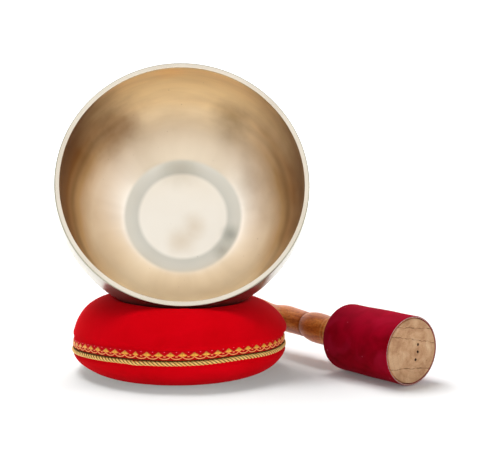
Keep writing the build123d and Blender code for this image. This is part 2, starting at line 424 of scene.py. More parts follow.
def bowl_matrix():
    """From the upright bowl, in millimetres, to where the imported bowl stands."""
    foot = next(m for m in frame["record"]["mounts"] if m["name"] == "bowl_foot")
    up = -Vector(foot["axis"]).normalized()
    tip = math.atan2(math.hypot(up.x, up.y), up.z)
    turn = Matrix.Rotation(BOWL_TURN, 4, "Z") @ Matrix.Rotation(tip, 4, "X")
    return Matrix.Translation(Vector(foot["pos_m"]) / MM) @ turn


BOWL_PLACE = bowl_matrix()


def wall_arc(widest_r, end):
    """Centre radius and arc radius of a wall that is upright at its widest ring and reaches end."""
    inward, height = widest_r - end[0], end[1] - BELLY_Z
    radius = (inward**2 + height**2) / (2 * inward)
    return widest_r - radius, radius


def wall_points(widest_r, end, count):
    """Wall from its widest ring to end."""
    centre_r, radius = wall_arc(widest_r, end)
    stop = math.atan2(end[1] - BELLY_Z, end[0] - centre_r)
    return arc((centre_r, BELLY_Z), radius, 0, stop, count)


def bowl_profile():
    """(radius, height) points from the middle of the foot round to the middle of the floor."""
    lip_outer, lip_inner = (LIP_R + LIP_WIDTH, BOWL_HEIGHT), (LIP_R, BOWL_HEIGHT)
    ring_edge = (FLOOR_RING_R, FLOOR_THICKNESS + FLOOR_RING_RISE)
    disc_edge = (FLOOR_DISC_R, FLOOR_THICKNESS)
    outside = np.vstack([wall_points(BELLY_R, (FOOT_R, 0), 60)[::-1],
                         wall_points(BELLY_R, lip_outer, 24)[1:]])
    inside = np.vstack([wall_points(BELLY_R - BELLY_WALL, lip_inner, 24)[::-1],
                        wall_points(BELLY_R - BELLY_WALL, ring_edge, 60)[1:]])
    runs = [line((0, 0), (FOOT_R, 0), 16), outside, line(lip_outer, lip_inner, 12), inside,
            line(ring_edge, disc_edge, 12), line(disc_edge, (0, FLOOR_THICKNESS), 20)]
    return joined(runs, (4.0, 0.45, 0.45, 3.5, 2.0))


def bowl_wobble(radius, height, angle):
    """Hand-made unevenness: a slightly oval lip and shallow hammered hollows."""
    wall = smoothstep(20, 45, radius)
    free = 1 - smoothstep(BOWL_HEIGHT - 8, BOWL_HEIGHT - 1, height)
    hollows = np.sin(9 * angle + height / 7.0) * np.sin(height / 5.3 + 2 * np.sin(3 * angle))
    uneven = 0.16 * ripple(angle, (2, 3), 3) * wall + 0.05 * hollows * wall * free
    return uneven, 0.12 * ripple(angle, (2, 5), 4) * wall


def bowl_space(s):
    """Position in the upright bowl, in metres: the point, then x, y, z and the distance from the axis."""
    local = s.before_laying(BOWL_PLACE)
    x, y, z = s.parts(local)
    return local, x, y, z, s.from_axis(x, y)


def turned_lines(s, x, y, z, radius, fineness, length):
    """Noise drawn out into lines round the bowl's axis."""
    across = s.over(x, radius)
    other = s.over(y, radius)
    level = s.plus(s.times(radius, -0.6), z)
    stretched = s.vector(s.times(across, length), s.times(other, length), s.times(level, fineness))
    return s.noise(stretched, 1.0, 3.0, 0.6)


# Patches of tint in the bowl: middle and size in millimetres, as for the upright bowl, and tint. On the wall
# they are painted reflections: the dark ones painted shade, the one with a tint above 1 a painted highlight
# near the top.
WALL_PAINTED_REFLECTIONS = [((-46, 58, 34), 42, (0.44, 0.35, 0.28)), ((37, 64, 35), 30, (0.57, 0.52, 0.46)),
               ((-6, 76, 74), 22, (1.12, 1.0, 0.84)), ((52, 14, 24), 44, (0.7, 0.65, 0.58)),
               ((-60, 30, 40), 30, (0.8, 0.76, 0.7)), ((34, 54, 24), 26, (0.8, 0.78, 0.76)),
               ((56, -46, 52), 36, (0.78, 0.74, 0.7))]
# On the floor, darker patches; the two at the lower right of the ring are painted shade on its slope.
FLOOR_DARKER_PATCHES = [((1, -18, 3), 20, (0.86, 0.8, 0.73)), ((10, -8, 3), 18, (0.86, 0.8, 0.73)),
                ((0, 36, 4), 30, (0.78, 0.76, 0.72)), ((35, -14, 4), 14, (0.62, 0.64, 0.63)),
                ((29, -25, 4), 14, (0.7, 0.7, 0.68))]


def tint_patch(s, colour, local, centre, size, tint):
    """Soft patch of tint on the metal round a point of the upright bowl, in millimetres; the wall's patches
    are painted reflections.
    """
    middle = tuple(v * MM for v in centre)
    far = s.node("ShaderNodeVectorMath", {0: local, 1: middle}, operation="DISTANCE").outputs["Value"]
    cloud = s.noise(local, 60.0, 3.0, 0.5)
    reach = s.plus(s.over(far, size * MM), s.times(cloud, 0.5))
    share = s.ramp(reach, ((0.2, 1.0), (1.0, 0.0)), smooth=True)
    return s.mix(share, colour, s.tinted(colour, tint))


def bronze_outside():
    """Pale brushed bronze with fine turned lines, hammered unevenness and a painted dark reflection just
    under the lip.
    """
    s = Shader("bronze_outside")
    local, x, y, z, radius = bowl_space(s)
    fine = turned_lines(s, x, y, z, radius, 1500.0, 2.0)
    broad = turned_lines(s, x, y, z, radius, 130.0, 1.5)
    cloud = s.noise(local, 22.0, 3.0, 0.5)
    colour = s.ramp(cloud, ((0.3, rgb(144, 138, 126)), (0.7, rgb(160, 155, 143))))
    colour = s.tinted(colour, s.ramp(broad, ((0.3, 0.93), (0.7, 1.0))))
    # Painted reflection: a thin dark band just under the lip, where the outer rounding reflects darker.
    painted_dark_under_lip = s.ramp(s.over(z, BOWL_HEIGHT * MM), ((0.975, 0.0), (0.99, 0.55)))
    colour = s.mix(painted_dark_under_lip, colour, rgb(120, 116, 96))
    rough = s.plus(s.times(cloud, 0.14), 0.26)
    return s.finish(Base_Color=colour, Metallic=1.0, Roughness=rough, Normal=s.bump(fine, 0.00003, 0.6))


def bronze_inside():
    """Satin bronze, its colours painted reflections: cream near the silvery floor, tan up the wall with a
    painted golden highlight at the top, and brown at the sides of the lip as painted dark reflection.
    """
    s = Shader("bronze_inside")
    local, x, y, z, radius = bowl_space(s)
    fine = turned_lines(s, x, y, z, radius, 1500.0, 2.0)
    broad = turned_lines(s, x, y, z, radius, 110.0, 1.4)
    cloud = s.noise(local, 16.0, 3.0, 0.5)
    blurred = s.plus(z, s.times(s.minus(cloud, 0.5), 0.014))
    height = s.over(blurred, BOWL_HEIGHT * MM)
    # Painted reflections: the top ramp is a painted golden highlight up the wall, the sides ramp painted dark
    # reflection, brown towards the lip.
    top = s.ramp(height, ((0.04, rgb(226, 220, 208)), (0.22, rgb(228, 219, 203)), (0.38, rgb(250, 236, 210)),
                          (0.46, rgb(253, 234, 200)), (0.62, rgb(254, 232, 192)), (0.9, rgb(252, 222, 176))))
    sides = s.ramp(height, ((0.04, rgb(240, 236, 228)), (0.22, rgb(240, 230, 214)),
                            (0.34, rgb(210, 180, 138)), (0.5, rgb(158, 114, 68)),
                            (0.7, rgb(134, 91, 50)), (0.95, rgb(124, 81, 44))))
    across, upwards = s.over(x, radius), s.over(y, radius)
    lean = s.plus(s.maths("ABSOLUTE", across), s.times(across, -0.06))
    lean = s.plus(lean, s.times(upwards, 0.08))
    lean = s.plus(lean, s.times(s.minus(cloud, 0.5), 0.5))
    # Where the sides' painted dark reflection takes over from the top's painted highlight.
    painted_dark_sides = s.ramp(lean, ((0.55, 0.0), (0.98, 1.0)), smooth=True)
    colour = s.mix(painted_dark_sides, top, sides)
    # Painted shade: on the upper side of the bowl the wall is darker near the floor.
    painted_shade_low_top = s.ramp(height, ((0.05, (0.72, 0.66, 0.58)), (0.28, (0.78, 0.76, 0.74)), (0.42, 1.0)))
    above = s.ramp(upwards, ((0.2, 0.0), (0.85, 1.0)), smooth=True)
    colour = s.mix(above, colour, s.tinted(colour, painted_shade_low_top))
    # Painted dark reflection: a dark line round the wall at about two fifths of its height and a slightly
    # darker wall above it, mostly on the sides; the shape has no ridge there.
    painted_dark_arc = s.ramp(height, ((0.36, 1.0), (0.41, (0.76, 0.74, 0.7)), (0.46, (1.0, 0.98, 0.94)),
                            (0.54, 0.88)), smooth=True)
    on_sides = s.plus(s.times(painted_dark_sides, 0.8), 0.1)
    colour = s.mix(on_sides, colour, s.tinted(colour, painted_dark_arc))
    # Painted reflections on the wall: patches of painted shade and one painted highlight.
    for blotch in WALL_PAINTED_REFLECTIONS:
        colour = tint_patch(s, colour, local, *blotch)
    streaks = s.ramp(broad, ((0.32, (0.88, 0.86, 0.84)), (0.62, 1.0)))
    colour = s.tinted(colour, streaks)
    floor_x = s.minus(x, FLOOR_SHIFT * MM)
    edge = s.plus(s.from_axis(floor_x, y), s.times(cloud, 0.0012))
    outwards_share = s.over(edge, BELLY_R * MM)
    # The ring round the floor disc is painted darker than the disc, as shade on its slope.
    floor = s.ramp(outwards_share, ((0.0, rgb(212, 207, 197)), (0.366, rgb(216, 211, 201)),
                                    (0.398, rgb(184, 182, 173)), (0.49, rgb(192, 189, 179))))
    # Darker patches on the floor; the two at the lower right of the ring are painted shade on its slope.
    for blotch in FLOOR_DARKER_PATCHES:
        floor = tint_patch(s, floor, local, *blotch)
    colour = s.mix(s.ramp(outwards_share, ((0.49, 0.0), (0.518, 1.0))), floor, colour)
    pits = s.ramp(s.spots(local, 140.0), ((0.0, 1.0), (0.07, 0.0)))
    pitted = s.times(pits, s.ramp(cloud, ((0.45, 0.0), (0.6, 0.6))))
    colour = s.mix(pitted, colour, rgb(96, 70, 44))
    rough = s.plus(s.times(cloud, 0.14), 0.38)
    rough = s.plus(rough, s.times(s.minus(broad, 0.5), 0.1))
    return s.finish(Base_Color=colour, Metallic=1.0, Roughness=rough, Normal=s.bump(fine, 0.00004, 0.6))


def polished_lip():
    """Bright lip, turned flat and polished, with a painted dark reflection along its outer edge."""
    s = Shader("bronze_lip")
    local, x, y, z, radius = bowl_space(s)
    cloud = s.noise(local, 30.0, 3.0)
    colour = s.ramp(cloud, ((0.3, rgb(188, 179, 164)), (0.7, rgb(200, 192, 178))))
    rough = s.ramp(cloud, ((0.2, 0.22), (0.8, 0.34)))
    # Painted reflection: a thin dark line along the lip's outer edge, where the rounding reflects darker.
    edge = s.ramp(s.over(radius, (LIP_R + LIP_WIDTH) * MM), ((0.991, 0.0), (0.996, 1.0)))
    colour = s.mix(edge, colour, rgb(136, 134, 118))
    lines = turned_lines(s, x, y, z, radius, 2500.0, 2.0)
    return s.finish(Base_Color=colour, Metallic=1.0, Roughness=rough, Normal=s.bump(lines, 0.00003, 0.6))


def build_bowl():
    profile, run = bowl_profile()
    slots = np.select([run <= 2, run <= 5], [0, 1], 2)
    grid = turned(profile, 384, bowl_wobble)
    grid[..., 0] += FLOOR_SHIFT * (1 - smoothstep(0, 50, grid[..., 2]))
    patches = Patchwork()
    patches.add(moved(grid, BOWL_PLACE), wrap_columns=True, slots=slots[:-1])
    finishes = (bronze_outside(), polished_lip(), bronze_inside())
    patches.piece("singing_bowl", "bowl", finishes, ["bowl"])


# ---------------- cushion

def hump(angle, middle, width):
    """1 at an angle round the cushion, in degrees, fading away on both sides."""
    apart = (angle - math.radians(middle) + math.pi) % TURN - math.pi
    return np.exp(-(apart / math.radians(width)) ** 2)


def seam_drop(angle):
    """How the seam wanders: it dips at the left and climbs to the right of the front."""
    return sum(rise * hump(angle, middle, width) for rise, middle, width in SEAM_WANDER)


def seam_swell(angle):
    """How far the seam stands out: it is drawn in only at the right."""
    return SEAM_SWELL * (1 - hump(angle, 90, 50))


def on_seam(angle, radius, height):
    """Points round the cushion that follow the seam."""
    return round_cushion(angle, radius + seam_swell(angle), height + seam_drop(angle))


def bowl_distance(points):
    """Distance from points to the bowl's outer shape taken as solid; negative inside."""
    upright = np.array(BOWL_PLACE.inverted())
    local = points @ upright[:3, :3].T + upright[:3, 3]
    radius, height = np.hypot(local[..., 0], local[..., 1]), local[..., 2]
    low_r, low = wall_arc(BELLY_R, (FOOT_R, 0))
    high_r, high = wall_arc(BELLY_R, (LIP_R + LIP_WIDTH, BOWL_HEIGHT))
    wall = np.where(height > BELLY_Z, np.hypot(radius - high_r, height - BELLY_Z) - high,
                    np.hypot(radius - low_r, height - BELLY_Z) - low)
    return np.maximum(wall, np.maximum(-height, height - BOWL_HEIGHT))


def dent(points):
    """Cushion points pressed down under the bowl, with a rounded edge round the dent."""
    levels = np.linspace(*DENT_LEVELS, 121)
    columns = points[..., None, :].repeat(len(levels), -2)
    columns[..., 2] = levels
    gap = bowl_distance(columns) - DENT_GAP
    inside = gap < 0
    first = inside.argmax(-1)
    take = lambda values, index: np.take_along_axis(values, index[..., None], -1)[..., 0]
    above, below = take(gap, first), take(gap, np.maximum(first - 1, 0))
    step = levels[1] - levels[0]
    share = np.clip(below / np.where(below - above == 0, 1, below - above), 0, 1)
    floor = levels[np.maximum(first - 1, 0)] + step * share
    nearest = gap.min(-1)
    floor = np.where(inside.any(-1), floor, points[..., 2] + nearest + DENT_ROUNDING)
    blend = np.clip(0.5 + 0.5 * (floor - points[..., 2]) / DENT_ROUNDING, 0, 1)
    level = floor * (1 - blend) + points[..., 2] * blend - DENT_ROUNDING * blend * (1 - blend)
    result = points.copy()
    result[..., 2] = np.minimum(level, points[..., 2])
    return result


def cushion_profile():
    """(radius, height) points from the middle of the base to the crown."""
    side_r = EQUATOR_R - UPPER_BULGE_R
    crown_r = (side_r + UPPER_BULGE_R * math.cos(CROWN_ANGLE)) / math.cos(CROWN_ANGLE)
    crown_centre = EQUATOR_Z + (UPPER_BULGE_R - crown_r) * math.sin(CROWN_ANGLE)
    lower_side = arc((0, 0), 1, -math.pi / 2, 0, 44)[:-1] * (EQUATOR_R - BASE_R, EQUATOR_Z)
    return np.vstack([
        line((0, 0), (BASE_R, 0), 14)[:-1],
        np.array((BASE_R, EQUATOR_Z)) + lower_side,
        arc((side_r, EQUATOR_Z), UPPER_BULGE_R, 0, CROWN_ANGLE, 60)[:-1],
        arc((0, crown_centre), crown_r, CROWN_ANGLE, math.pi / 2, 70),
    ])


def cushion_grid(columns):
    """Cover's outer surface: uneven stuffing, a drawn-in seam band and the bowl's dent."""
    profile = cushion_profile()
    angle = np.arange(columns) * TURN / columns - math.pi
    radius = np.repeat(profile[:, :1], columns, 1)
    height = np.repeat(profile[:, 1:], columns, 1)
    angle = np.broadcast_to(angle, radius.shape)
    upper = smoothstep(EQUATOR_Z, 45, height)
    side = smoothstep(8, 22, height) * (1 - smoothstep(40, 52, height))
    left = -np.sin(angle)
    height = height + LEFT_RISE * left * upper * (radius / EQUATOR_R)
    radius = radius + side * (0.5 * ripple(angle, (2, 3, 5), 21) + 0.15 * ripple(angle, (11, 17), 22))
    low, high = SEAM_LOW_Z + seam_drop(angle), SEAM_HIGH_Z + seam_drop(angle)
    band = smoothstep(low - 2.6, low + 0.6, height) * (1 - smoothstep(high - 0.6, high + 4.0, height))
    radius = radius + LEFT_BULGE * hump(angle, -90, 35) * smoothstep(3, 10, height)
    radius = radius + band * (SEAM_R + seam_swell(angle) - radius)
    gathers = np.exp(-(np.minimum(abs(height - low), abs(height - high)) / 2.5) ** 2) * (1 - band)
    radius = radius + 0.10 * gathers * ripple(angle, (47, 61, 83), 23)
    points = round_cushion(angle, radius, height)
    points[..., 0] += UPPER_SHIFT * smoothstep(23, 28, height)
    return dent(points)


def red_cloth():
    """Short-napped red cloth: fibre speckle, brushed clouds in the nap and a soft edge."""
    s = Shader("red_cloth")
    place = s.place()
    fibres = s.noise(place, 2600.0, 3.0, 0.7)
    nap = s.noise(place, 40.0, 4.0, 0.6, 0.6)
    weave = s.noise(s.mapped(place, scale=(1.0, 1.0, 2.2)), 700.0, 2.0, 0.6)
    colour = s.ramp(nap, ((0.3, rgb(203, 0, 11)), (0.7, rgb(216, 0, 17))))
    speckle = s.ramp(fibres, ((0.3, (0.88, 0.85, 0.85)), (0.7, 1.0)))
    colour = s.tinted(colour, speckle)
    soft = s.bump(weave, 0.00010, 0.5)
    rough = s.bump(fibres, 0.00008, 0.6, soft)
    return s.finish(Base_Color=colour, Roughness=0.95, Normal=rough, Specular_IOR_Level=0.04,
                    Sheen_Weight=0.03, Sheen_Roughness=0.4, Sheen_Tint=rgb(255, 60, 80))


def build_cushion():
    patches = Patchwork()
    patches.add(cushion_grid(360), wrap_columns=True)
    cushion = patches.piece("cushion_cover", "cushion", (red_cloth(),),
                            ["cushion_top_cover", "cushion_bottom_cover", "cushion_filling",
                             "cover_seam_thread"])
    cushion.visible_diffuse = False


# ---------------- trim

def ribbon():
    """Red ribbon in the cloth's colour, with fine ribs across it."""
    s = Shader("trim_ribbon")
    uv = s.uv()
    ribs = s.waves(uv, 160.0)
    threads = s.noise(s.mapped(uv, scale=(40.0, 900.0, 1.0)), 1.0, 2.0)
    colour = s.ramp(threads, ((0.3, rgb(180, 0, 12)), (0.7, rgb(206, 0, 18))))
    return s.finish(Base_Color=colour, Roughness=0.8, Normal=s.bump(ribs, 0.00006, 0.6),
                    Specular_IOR_Level=0.08)


def lurex(name, groove, dark, light, roughness, metallic):
    """Shiny wrapped thread: slanting fibres, light and dark patches, and painted shade, the groove colour, in
    the grooves between strands.
    """
    s = Shader(name)
    fibres = s.waves(s.mapped(s.uv(), rotation=(0, 0, 0.6)), 9.0, 1.5, detail=1.0)
    patches = s.noise(s.place(), 420.0, 3.0)
    share = s.plus(s.times(fibres, 0.4), s.times(patches, 0.6))
    colour = s.ramp(share, ((0.3, dark), (0.65, light)))
    # Painted shade: the groove colour where the shade attribute is low.
    colour = s.mix(s.shade(), groove, colour)
    return s.finish(Base_Color=colour, Metallic=metallic, Roughness=roughness, Specular_IOR_Level=0.2,
                    Normal=s.bump(fibres, 0.00006, 0.6))


def outwards(angle):
    """Unit vectors straight out from the cushion's axis."""
    return round_cushion(angle, 1.0, 0.0)


def wound_strand(patches, centre_r, height, wind_r, winds, phase, thick, sides, around_uv,
                 painted_shade_span=(0.62, 0.95)):
    """One strand of a twist that runs round the cushion; height is a function of the angle."""
    count = max(720, 24 * abs(winds))
    angle = np.arange(count) * TURN / count
    turn = winds * angle + phase
    middle = on_seam(angle, centre_r, height(angle))
    offset = outwards(angle) * (wind_r * np.cos(turn))[:, None]
    offset[:, 2] += wind_r * np.sin(turn)
    grid = tube(middle + offset, outwards(angle), thick, sides)
    # Painted shade: where the strand lies deeper in the twist it takes the thread's groove colour.
    stands_out = np.linalg.norm(grid - middle, axis=-1) / (wind_r + thick / 2)
    patches.add(grid, wrap_rows=True, wrap_columns=True, uv_size=(around_uv, 1.0),
                shade=smoothstep(*painted_shade_span, stands_out))


def build_tape():
    angle = np.arange(480) * TURN / 480
    half = (TAPE_HIGH_Z - TAPE_LOW_Z) / 2
    middle = (TAPE_HIGH_Z + TAPE_LOW_Z) / 2
    section, _ = joined([line((-TAPE_THICKNESS, -half), (0, -half), 4), line((0, -half), (0, half), 20),
                         line((0, half), (-TAPE_THICKNESS, half), 4),
                         line((-TAPE_THICKNESS, half), (-TAPE_THICKNESS, -half), 10)],
                        (0.15, 0.15, 0.15))
    rows = [on_seam(angle, TAPE_R + out, middle + up) for out, up in section]
    patches = Patchwork()
    patches.add(np.array(rows), wrap_rows=True, wrap_columns=True, uv_size=(60.0, 1.0))
    patches.piece("trim_ribbon_band", "cushion", (ribbon(),), ["trim_tape"])


def build_cord():
    """Gold cord: strands laid round each other, with a slight sag where its ends meet."""
    patches = Patchwork()
    strand_r = CORD_R * 0.48
    for k in range(CORD_STRANDS):
        wound_strand(patches, CORD_PATH_R, lambda angle: CORD_Z - 0.4 * hump(angle, JOIN_AT, 3.5),
                     CORD_R - strand_r, -CORD_TWISTS, k * TURN / CORD_STRANDS, 2 * strand_r, 16, 400.0,
                     (0.76, 0.95))
    # The first colour is painted shade in the grooves between the strands.
    gold = lurex("cord_gold", rgb(118, 70, 14), rgb(234, 172, 78), rgb(255, 220, 140), 0.5, 0.05)
    patches.piece("gold_cord", "cushion", (gold,), ["trim_gold_cord"])


def build_dark_line():
    """Two thin olive strands laid together above the cord; their dark colour is partly the thread's own and
    partly painted shade of the gap above the cord.
    """
    patches = Patchwork()
    for k in range(2):
        wound_strand(patches, TAPE_R + 0.3, lambda angle: DARK_LINE_Z + 0 * angle, 0.2, 150, k * math.pi,
                     0.55, 6, 500.0)
    # Partly the thread's own colour, partly painted shade of the gap above the cord.
    olive = lurex("dark_braid", rgb(44, 24, 2), rgb(66, 42, 4), rgb(104, 74, 14), 0.85, 0.0)
    patches.piece("dark_line", "cushion", (olive,), ["trim_dark_line"])


def festoon_height(angle):
    """Height of the braid: one hanging arc to each repeat."""
    across = ((angle - TRIM_TURN) / TRIM_STEP + 0.5) % 1 * 2 - 1
    return BRAID_LOW_Z + BRAID_SAG * (1 - np.sqrt(1 - 0.94 * across**2)) / (1 - math.sqrt(0.06))


def build_braid():
    """Two fine strands wound round each other along the hanging arcs."""
    patches = Patchwork()
    for k in range(2):
        wound_strand(patches, TAPE_R + 0.3, festoon_height, 0.12, 240, k * math.pi, 0.5, 6, 700.0,
                     (0.1, 0.5))
    # The first colour is painted shade in the grooves between the strands.
    salmon = lurex("braid_gold", rgb(176, 60, 22), rgb(250, 130, 70), rgb(255, 184, 120), 0.45, 0.05)
    patches.piece("festoon_braid", "cushion", (salmon,), ["trim_festoon_braid"])


# Half-width of a leaf as a share, by height: a kite with drooping side tips and a point
LEAF_OUTLINE = [(0.0, 0.14), (0.14, 0.3), (0.26, 0.62), (0.34, 1.0), (0.46, 0.96), (0.58, 0.72), (0.72, 0.48),
                (0.86, 0.26), (1.0, 0.06)]


def leaf_grid(angle, width, height):
    """One raised leaf with a domed middle and stitched ribs; returns its points and their painted shade,
    darker between the ribs and towards the leaf's edges.
    """
    outline = smooth_curve(LEAF_OUTLINE, 4)
    up, half = outline[:, :1], outline[:, 1:] * width / 2
    across = np.linspace(-1, 1, 21)[None, :]
    dome = np.sqrt(np.maximum(1 - across**2, 0)) * np.minimum(half / width * 2.5, 1)
    ribs = 0.5 + 0.5 * np.cos(across * 7 * math.pi)
    relief = 0.06 + 0.5 * dome + 0.07 * ribs * dome
    turn = angle + across * half / TAPE_R
    return on_seam(turn, TAPE_R + relief, LEAF_FOOT_Z + height * up), np.clip(0.35 * ribs + 0.8 * dome, 0, 1)


def gold_leaf():
    """Embroidery thread: gold in the middle, salmon along the edges, and a painted brown shade between the
    stitched ribs and towards the edges.
    """
    s = Shader("leaf_gold")
    u = s.parts(s.uv())[0]
    middle = s.maths("ABSOLUTE", s.minus(s.times(u, 2.0), 1.0))
    patchy = s.noise(s.place(), 600.0, 3.0)
    share = s.plus(s.times(middle, 0.6), s.times(patchy, 0.5))
    colour = s.ramp(share, ((0.25, rgb(216, 152, 34)), (0.5, rgb(246, 182, 66)), (0.85, rgb(250, 128, 60))))
    # Painted shade between the stitched ribs and towards the leaf's edges.
    colour = s.mix(s.shade(), rgb(150, 60, 20), colour)
    threads = s.waves(s.uv(), 2.2, 0.5)
    return s.finish(Base_Color=colour, Metallic=0.1, Roughness=0.45, Normal=s.bump(threads, 0.0001, 0.6),
                    Specular_IOR_Level=0.3)


def build_leaves():
    """Row of embroidered leaves, each a little different; the one at the join is squeezed."""
    rng = np.random.default_rng(5)
    patches = Patchwork()
    for k in range(TRIM_REPEATS):
        angle = TRIM_TURN + (k + 0.5) * TRIM_STEP
        width = LEAF_WIDTH * rng.uniform(0.94, 1.04) * (1 - 0.28 * hump(angle, JOIN_AT, 3))
        face, shade = leaf_grid(angle, width, LEAF_HEIGHT * rng.uniform(0.95, 1.04))
        back = face.copy()
        back[1:-1, 1:-1, :2] *= 1 - 0.5 / TAPE_R
        patches.add(face, shade=shade)
        patches.add(back[:, ::-1], shade=0 * shade)
    patches.piece("leaf_motifs", "cushion", (gold_leaf(),), ["trim_leaf_motifs"])


def bead(angle, height, width, tall, thick):
    """Small rounded stitch on the tape."""
    turn = np.linspace(0, TURN, 14, endpoint=False)[None, :]
    rise = np.linspace(0, math.pi / 2, 6)[:, None]
    across = angle + np.cos(turn) * np.cos(rise) * width / 2 / TAPE_R
    return on_seam(across, TAPE_R + np.sin(rise) * thick + 0 * turn,
                   height + np.sin(turn) * np.cos(rise) * tall / 2)


def build_dots():
    """An oval stitch in each hanging arc and a tiny one above it."""
    patches = Patchwork()
    for k in range(TRIM_REPEATS):
        angle = TRIM_TURN + k * TRIM_STEP
        patches.add(bead(angle, LOW_DOT_Z, 1.7, 0.85, 0.5), wrap_columns=True)
        patches.add(bead(angle, HIGH_DOT_Z, 0.9, 0.55, 0.3), wrap_columns=True, slots=np.ones(6, int))
    salmon = lurex("dot_salmon", rgb(200, 80, 40), rgb(240, 110, 64), rgb(255, 168, 116), 0.45, 0.1)
    pink = lurex("dot_pink", rgb(226, 40, 76), rgb(240, 56, 90), rgb(250, 110, 130), 0.6, 0.0)
    patches.piece("trim_stitches", "cushion", (salmon, pink), ["trim_dots"])


# ---------------- mallet

# Under this the mallet's x points right, y down and z along the handle
MALLET_PLACE = (Matrix.Translation(MALLET_FACE) @ Matrix.Rotation(MALLET_TURN, 4, "Z")
                @ Matrix.Rotation(-math.pi / 2, 4, "X"))


def handle_profile():
    """(radius, height) points of the turned wood, from the middle of its face to its domed end."""
    front = [(r, z) for z, r in HANDLE_FRONT]
    rear = [(r, z) for z, r in HANDLE_REAR]
    core_r, shoulder = HEAD_R - SUEDE_THICKNESS - SUEDE_GAP, HEAD_LENGTH - SUEDE_THICKNESS - SUEDE_GAP
    groove = (front[-1][0] - HANDLE_GROOVE_DEPTH, HANDLE_GROOVE_Z)
    end_r, end_z = rear[-1]
    runs = [line((0, 0), (core_r, 0), 26), line((core_r, 0), (core_r, shoulder), 8),
            line((core_r, shoulder), front[0], 8), smooth_curve(front, 14), line(front[-1], groove, 5),
            line(groove, rear[0], 5), smooth_curve(rear, 12),
            np.array((0, end_z)) + arc((0, 0), 1, 0, math.pi / 2, 16) * (end_r, end_r)]
    return joined(runs, (0.35, 4.8, 0.4, 0.3, 0.15, 0.3, 0.5))[0]


def handle_wobble(radius, height, angle):
    """Fine turned grooves near the head and a slight unevenness."""
    on_handle = smoothstep(HEAD_LENGTH, HEAD_LENGTH + 2, height)
    collar = sum(np.exp(-((height - at) / 0.45) ** 2) for at in COLLAR_GROOVES_AT)
    return on_handle * (-0.35 * collar + 0.08 * ripple(angle, (2, 3), 31)), 0 * height


def turned_wood():
    """Varnished mottled wood with paler rings near the head; painted shade darkens the groove and the wood
    behind it.
    """
    s = Shader("turned_wood")
    local = s.before_laying(MALLET_PLACE)
    z = s.parts(local)[2]
    grain = s.noise(s.mapped(local, scale=(260.0, 260.0, 45.0)), 1.0, 5.0, 0.65, 0.5)
    mottle = s.noise(s.mapped(local, scale=(70.0, 70.0, 30.0)), 1.0, 3.0, 0.5)
    pores = s.noise(s.mapped(local, scale=(1100.0, 1100.0, 420.0)), 1.0, 2.0, 0.6)
    colour = s.ramp(grain, ((0.3, rgb(158, 72, 14)), (0.5, rgb(204, 112, 36)), (0.72, rgb(226, 146, 66))))
    colour = s.tinted(colour, s.ramp(mottle, ((0.32, (0.66, 0.5, 0.38)), (0.62, 1.0))))
    colour = s.tinted(colour, s.ramp(pores, ((0.34, (0.7, 0.62, 0.55)), (0.5, 1.0))))
    turned_rings = s.ramp(s.waves(local, 105.0, 0.4, "Z"), ((0.3, 0.0), (0.9, 0.4)))
    near_head = s.ramp(s.over(z, 0.1), ((0.72, 1.0), (0.8, 0.0)))
    colour = s.mix(s.times(turned_rings, near_head), colour, rgb(232, 176, 112))
    # Painted shade: the wood is darker in and beside the ring groove.
    from_groove = s.maths("ABSOLUTE", s.minus(z, HANDLE_GROOVE_Z * MM))
    colour = s.mix(s.ramp(s.times(from_groove, 500.0), ((0.1, 0.5), (1.0, 0.0))), colour, rgb(112, 48, 14))
    # Painted shade: the wood behind the ring groove is darker, in one hard step.
    painted_shade_behind_groove = s.ramp(s.over(z, 0.1), ((1.0, 1.0), (1.0, (0.8, 0.7, 0.64))))
    colour = s.tinted(colour, painted_shade_behind_groove)
    return s.finish(Base_Color=colour, Roughness=0.45, Normal=s.bump(grain, 0.00006, 0.5),
                    Coat_Weight=0.06, Coat_Roughness=0.3, Specular_IOR_Level=0.2)


